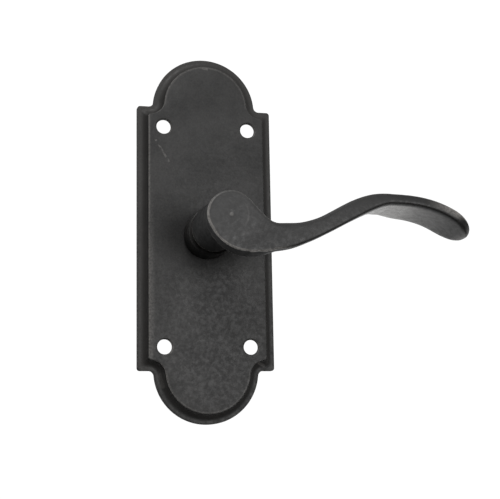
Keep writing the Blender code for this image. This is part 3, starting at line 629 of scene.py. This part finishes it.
def lever_features(tree, place, cast):
    """The casting's worn proud edges, with a painted highlight at the lower left of the head and
    along the paddle's front near the tip; painted shade on the neck and along the paddle's lower
    front corner; a centre mark on the face; and the paddle's underside, rubbed bare by fingers.

    Every range of place is in millimetres.
    """
    proud = node(tree, "Attribute", {"attribute_name": "proud", "attribute_type": "GEOMETRY"}).outputs["Fac"]
    across, up, height = measured(tree, place)
    radius = from_centre(tree, across, up)
    # Proud edges worn pale, with a painted highlight where they face down and to the left, fading out along
    # the bar.
    lower_left_glint = band(tree, facing(tree, (-0.70, -0.25, -0.67)), 0.05, 0.75, 0.10, 1.0)
    wear_and_glint = product(tree, band(tree, proud, 0.28, 0.75), lower_left_glint, band(tree, across, 17.0, 28.0, 1.0, 0.08))
    face = band(tree, height, 49.4, 49.9)
    dimple = product(tree, band(tree, radius, 1.1, 0.4), face, 0.30)
    ring = product(tree, band(tree, radius, 6.1, 6.5), band(tree, radius, 7.1, 6.7),
                   band(tree, across, 4.5, 6.2), face, 0.09)
    # A painted highlight on the paddle's front near the tip, where it rounds over towards the top.
    tip_highlight = product(tree, band(tree, facing(tree, (0.10, -0.80, 0.59)), 0.66, 0.92),
                    band(tree, across, 78.0, 92.0, 0.0, 0.75))
    edge = largest(tree, wear_and_glint, tip_highlight, dimple, ring)

    # Painted shade on the neck behind the head, mottled by the clouds; the same mask makes it duller.
    neck_shade = product(tree, band(tree, height, 49.7, 48.8, 0.0, 0.95), band(tree, radius, 32.0, 26.0),
                    band(tree, cast.outputs["Clouds"], 0.45, 0.57, 1.0, 0.35))
    under = band(tree, facing(tree, (0.0, 0.0, -1.0)), 0.80, 0.95)
    fingers = product(tree, band(tree, across, 45.0, 55.0), band(tree, across, 66.0, 84.0, 1.0, 0.38))
    polish = product(tree, under, fingers, band(tree, height, 49.4, 47.5))
    # Painted shade along the paddle's lower front corner, stronger towards the tip.
    corner_shade = product(tree, band(tree, facing(tree, (0.0, -0.62, -0.78)), 0.74, 0.92),
                     band(tree, across, 62.0, 90.0, 0.25, 0.90))
    handled = product(tree, band(tree, radius, 15.0, 8.0, 0.0, 0.6), face)
    layers = [(handled, grey(0.058, 0.01)), (neck_shade, grey(0.006)), (corner_shade, grey(0.004))]
    return edge, layers, polish, neck_shade


lever.data.materials.append(blackened_iron(
    "blackened_lever_iron", lever_features, grey(0.023, 0.01), grey(0.034, 0.015), grey(0.40, 0.05), 1.0,
    (0.40, 0.54), 0.28))
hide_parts("lever")
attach(lever, "lever")


# ---------------------------------------------------------------- neck collar
# A turned iron collar, blackened like the plate, is pressed through it from the front. It
# carries the bronze sleeve in which the lever's shank turns.
COLLAR = 0.0100
COLLAR_FOOT = 0.0063
COLLAR_TOP = 0.0180
COLLAR_BORE = 0.0078
SPIGOT = 0.0083
SPIGOT_END = 0.0048
COLLAR_ROUND = 0.0008
COLLAR_BREAK = 0.0004           # at its foot

rounds = np.linspace(0.0, math.pi / 2, 7)
outside = [(COLLAR - COLLAR_ROUND * (1 - math.sin(t)), COLLAR_TOP - COLLAR_ROUND * (1 - math.cos(t)))
           for t in rounds]
outside += [(COLLAR, height) for height in np.linspace(COLLAR_TOP - 0.002, COLLAR_FOOT + 0.0006, 8)]
outside += [(COLLAR - COLLAR_BREAK, COLLAR_FOOT), (SPIGOT, COLLAR_FOOT), (SPIGOT, SPIGOT_END)]
collar = turned("collar_turning", outside, 128)
combined(collar, [drilled((0, 0), COLLAR_BORE, 0.0, COLLAR_TOP + 0.002, 128)], "DIFFERENCE")
softly_shaded(collar)


def collar_features(tree, place, cast):
    """Wear on the collar's front edge, a painted highlight down its left flank, and painted shade at its
    foot.
    """
    height = measured(tree, place)[2]
    front = product(tree, band(tree, height, 16.6, 17.4), band(tree, height, 18.2, 17.7), 0.15)
    # A painted highlight down the collar's left flank, broken by the clouds.
    left_flank_highlight = product(tree, band(tree, facing(tree, (-0.97, 0.0, 0.25)), 0.82, 0.98),
                    band(tree, cast.outputs["Clouds"], 0.42, 0.58, 0.2, 1.0), 0.55)
    # Painted shade at the collar's foot, in the corner against the plate; the same mask makes it duller.
    foot = band(tree, height, 9.0, 6.6, 0.0, 0.7)
    return largest(tree, front, left_flank_highlight), [(foot, grey(0.008))], None, foot


# The collar's iron is the plate's blackened iron painted darker: painted shade round the neck.
collar.data.materials.append(blackened_iron(
    "collar_iron_in_painted_shade", collar_features, grey(0.014, 0.02), grey(0.026, 0.05), grey(0.060, 0.10), 0.7,
    (0.42, 0.56), 0.2))
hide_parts("neck_collar")
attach(collar, "plate")


# ---------------------------------------------------------------- spindle
# A length of 8 mm square cold-drawn steel bar with broken ends. It sits in the shank's square
# socket, where the grub screw holds it, and reaches 40 mm into the door to turn the latch.
SPINDLE_HALF = 0.0040
SPINDLE_FRONT = 0.0250
SPINDLE_BACK = -0.0400
SPINDLE_CORNER = 0.0006
BACK_BREAK, FRONT_BREAK = 0.0010, 0.0005   # taken off the edges of each end


def rounded_square(half, corner, count=6):
    """A square's outline with quarter rounds at its corners, as (u, v)."""
    inner = half - corner
    quarters = [arc_points((inner * cu, inner * cv), corner, start, start + math.pi / 2, count)
                for cu, cv, start in (
                    (1, 1, 0.0), (-1, 1, math.pi / 2), (-1, -1, math.pi), (1, -1, 1.5 * math.pi))]
    return np.concatenate(quarters)


tapers = [(BACK_BREAK, SPINDLE_BACK), (0.3 * BACK_BREAK, SPINDLE_BACK + 0.5 * BACK_BREAK),
          (0.0, SPINDLE_BACK + 1.1 * BACK_BREAK)]
tapers += [(0.0, height) for height in np.linspace(-0.036, 0.022, 24)]
tapers += [(0.0, SPINDLE_FRONT - 1.2 * FRONT_BREAK), (FRONT_BREAK, SPINDLE_FRONT)]
spindle = skinned("spindle_bar", np.stack([
    level_ring(rounded_square(SPINDLE_HALF - taper, SPINDLE_CORNER), height) for taper, height in tapers]))
softly_shaded(spindle)

# Tool marks: fine lines left by drawing or turning, as a noise stretched along the cut.
marks, given, out = group_shell(
    "tool_marks", [("Across", "Vector", None)], [("Lines", "Float"), ("Stain", "Float")])
lines = node(marks, "TexNoise", Vector=given.outputs[0], Scale=2600.0, Detail=2.0, Roughness=0.6)
stain = node(marks, "TexNoise", Vector=given.outputs[0], Scale=240.0, Detail=4.0, Roughness=0.6)
for socket, source in zip(out.inputs, (lines.outputs[0], stain.outputs[0])):
    marks.links.new(source, socket)


def round_cut(tree, place):
    """Marks that run round the spindle's axis: they vary with radius and height only."""
    split = node(tree, "SeparateXYZ", _0=place)
    radius = from_centre(tree, split.outputs["X"], split.outputs["Z"])
    return node(tree, "CombineXYZ", X=radius, Y=split.outputs["Y"]).outputs[0]


def drawn_cut(tree, place):
    """Marks that run along the bar."""
    return vector(tree, "MULTIPLY", place, (1.0, 0.02, 1.0))


def rolled_cut(tree, place):
    """Marks of the rolling mill, across the sheet."""
    return vector(tree, "MULTIPLY", place, (1.0, 1.0, 0.06))


def worked_metal(name, cut, clean, stained, metallic, roughness, bump=0.15):
    """Bare or plated metal: a clean and a stained colour, with tool marks in gloss and relief."""
    material = bpy.data.materials.new(name)
    material.use_nodes = True
    tree = material.node_tree
    shader = tree.nodes["Principled BSDF"]
    place = node(tree, "TexCoord").outputs["Object"]
    marked = node(tree, "Group", {"node_tree": marks}, Across=cut(tree, place))
    cloudy = node(tree, "Group", {"node_tree": mottle}, Position=place)
    dirt = product(tree, band(tree, cloudy.outputs["Clouds"], 0.42, 0.62), 0.6)
    dirt = maths(tree, "ADD", dirt, band(tree, marked.outputs["Stain"], 0.45, 0.70, 0.0, 0.4), clamp=True)
    body = mixed(tree, dirt, clean, stained)
    tree.links.new(body, shader.inputs["Base Color"])
    tree.links.new(band(tree, marked.outputs["Lines"], 0.3, 0.7, *roughness), shader.inputs["Roughness"])
    shader.inputs["Metallic"].default_value = metallic
    lined = node(tree, "Bump", Strength=bump, Distance=0.0001, Height=marked.outputs["Lines"])
    tree.links.new(lined.outputs[0], shader.inputs["Normal"])
    return material


spindle.data.materials.append(worked_metal(
    "drawn_steel", drawn_cut, (0.42, 0.42, 0.41, 1), (0.24, 0.22, 0.19, 1), 1.0, (0.30, 0.44)))
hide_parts("spindle")
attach(spindle, "lever")


# ---------------------------------------------------------------- bearing, screw, cam and spring
# The bronze sleeve and thrust washer carry the lever. Behind the plate a sheet steel cam plate
# sits on the shank's flats under a retaining ring, and its pin winds a flat spiral spring that
# is anchored to the plate. A pressed cover on four rivets closes the chamber.
finishes = {
    "oiled_bronze": (round_cut, (0.36, 0.22, 0.09, 1), (0.13, 0.085, 0.045, 1), 1.0, (0.28, 0.42)),
    "black_screw_steel": (round_cut, (0.060, 0.060, 0.062, 1), (0.030, 0.028, 0.026, 1), 0.9, (0.34, 0.48)),
    "plated_sheet_steel": (rolled_cut, (0.46, 0.46, 0.44, 1), (0.30, 0.29, 0.26, 1), 0.95, (0.32, 0.46)),
    "pin_steel": (round_cut, (0.38, 0.38, 0.38, 1), (0.20, 0.19, 0.17, 1), 1.0, (0.26, 0.38)),
    "spring_steel": (rolled_cut, (0.16, 0.17, 0.20, 1), (0.09, 0.075, 0.06, 1), 1.0, (0.26, 0.40)),
}
made_of = {
    "oiled_bronze": ["bearing_sleeve", "thrust_washer"],
    "black_screw_steel": ["grub_screw"],
    "plated_sheet_steel": ["cam_plate", "spring_cover"] + [f"cover_rivet_{number}" for number in range(1, 5)],
    "pin_steel": ["cam_pin", "spring_anchor_pin", "rest_stop_pin", "travel_stop_pin"],
    "spring_steel": ["retaining_ring", "return_spring"],
}
for finish_name, pieces in made_of.items():
    metal = worked_metal(finish_name, *finishes[finish_name])
    for piece in pieces:
        nodes[piece].data.materials.clear()
        nodes[piece].data.materials.append(metal)


# ---------------------------------------------------------------- stage, light and camera
# A plain pale floor well below the handle, a white surround, and large soft lights.
floor_mesh = bpy.data.meshes.new("floor")
FLOOR_HALF, FLOOR_HEIGHT = 4.5, -0.32
floor_mesh.from_pydata(
    [(side * FLOOR_HALF, depth * FLOOR_HALF, FLOOR_HEIGHT)
     for side, depth in ((-1, -1), (1, -1), (1, 1), (-1, 1))],
    [], [(0, 1, 2, 3)])
floor = bpy.data.objects.new("floor", floor_mesh)
bpy.context.scene.collection.objects.link(floor)
pale = bpy.data.materials.new("pale_floor")
pale.use_nodes = True
pale_shader = pale.node_tree.nodes["Principled BSDF"]
pale_shader.inputs["Base Color"].default_value = (0.93, 0.93, 0.93, 1.0)
pale_shader.inputs["Roughness"].default_value = 0.9
pale_shader.inputs["Emission Color"].default_value = (1.0, 1.0, 1.0, 1.0)
pale_shader.inputs["Emission Strength"].default_value = 0.45
floor_mesh.materials.append(pale)
# The floor takes light but throws none back: the handle hangs in a dark room.
floor.visible_diffuse = False
floor.visible_glossy = False

# The surround is white to look at. As light it is a white sheet behind the handle, a paler
# ceiling, and a dark room in front and below.
BEHIND, OVERHEAD, ROOM = 1.0, 0.42, 0.035
surround = bpy.data.worlds.new("surround")
surround.use_nodes = True
sky = surround.node_tree
direction = node(sky, "SeparateXYZ", _0=node(sky, "TexCoord").outputs["Generated"])
behind = band(sky, direction.outputs["Y"], 0.05, 0.45, 0.0, BEHIND)
overhead = band(sky, direction.outputs["Z"], -0.10, 0.75, ROOM, OVERHEAD)
glow = maths(sky, "MAXIMUM", behind, overhead)
seen = node(sky, "LightPath").outputs["Is Camera Ray"]
glow = maths(sky, "MAXIMUM", glow, maths(sky, "MULTIPLY", seen, 1.05))
sky.links.new(glow, sky.nodes["Background"].inputs["Strength"])
sky.nodes["Background"].inputs["Color"].default_value = (1.0, 1.0, 1.0, 1.0)
bpy.context.scene.world = surround
bpy.context.scene.view_settings.view_transform = "Standard"


def soft_light(name, place, size, watts):
    """A square area light that faces the handle."""
    lamp = bpy.data.lights.new(name, "AREA")
    lamp.shape = "SQUARE"
    lamp.size = size
    lamp.energy = watts
    obj = bpy.data.objects.new(name, lamp)
    obj.location = place
    obj.rotation_euler = (-Vector(place)).to_track_quat("-Z", "Y").to_euler()
    bpy.context.scene.collection.objects.link(obj)


soft_light("key_light", (-0.25, -0.75, 0.80), 0.55, 4.4)
soft_light("front_light", (0.34, -1.14, -0.06), 0.40, 4.6)

camera_data = bpy.data.cameras.new("camera")
camera_data.lens = 82.06        # millimetres
camera_data.sensor_width = 36.0
camera_data.clip_start = 0.02
camera_data.clip_end = 20.0
camera = bpy.data.objects.new("camera", camera_data)
forward = Vector((0.2433, 0.9537, 0.1769)).normalized()
right = Vector((0.9696, -0.2441, -0.0175)).normalized()
up = right.cross(forward)
turned_to = Matrix((right, up, -forward)).transposed().to_4x4()
camera.matrix_world = Matrix.Translation((-0.0972, -0.4580, -0.0891)) @ turned_to
bpy.context.scene.collection.objects.link(camera)
bpy.context.scene.camera = camera
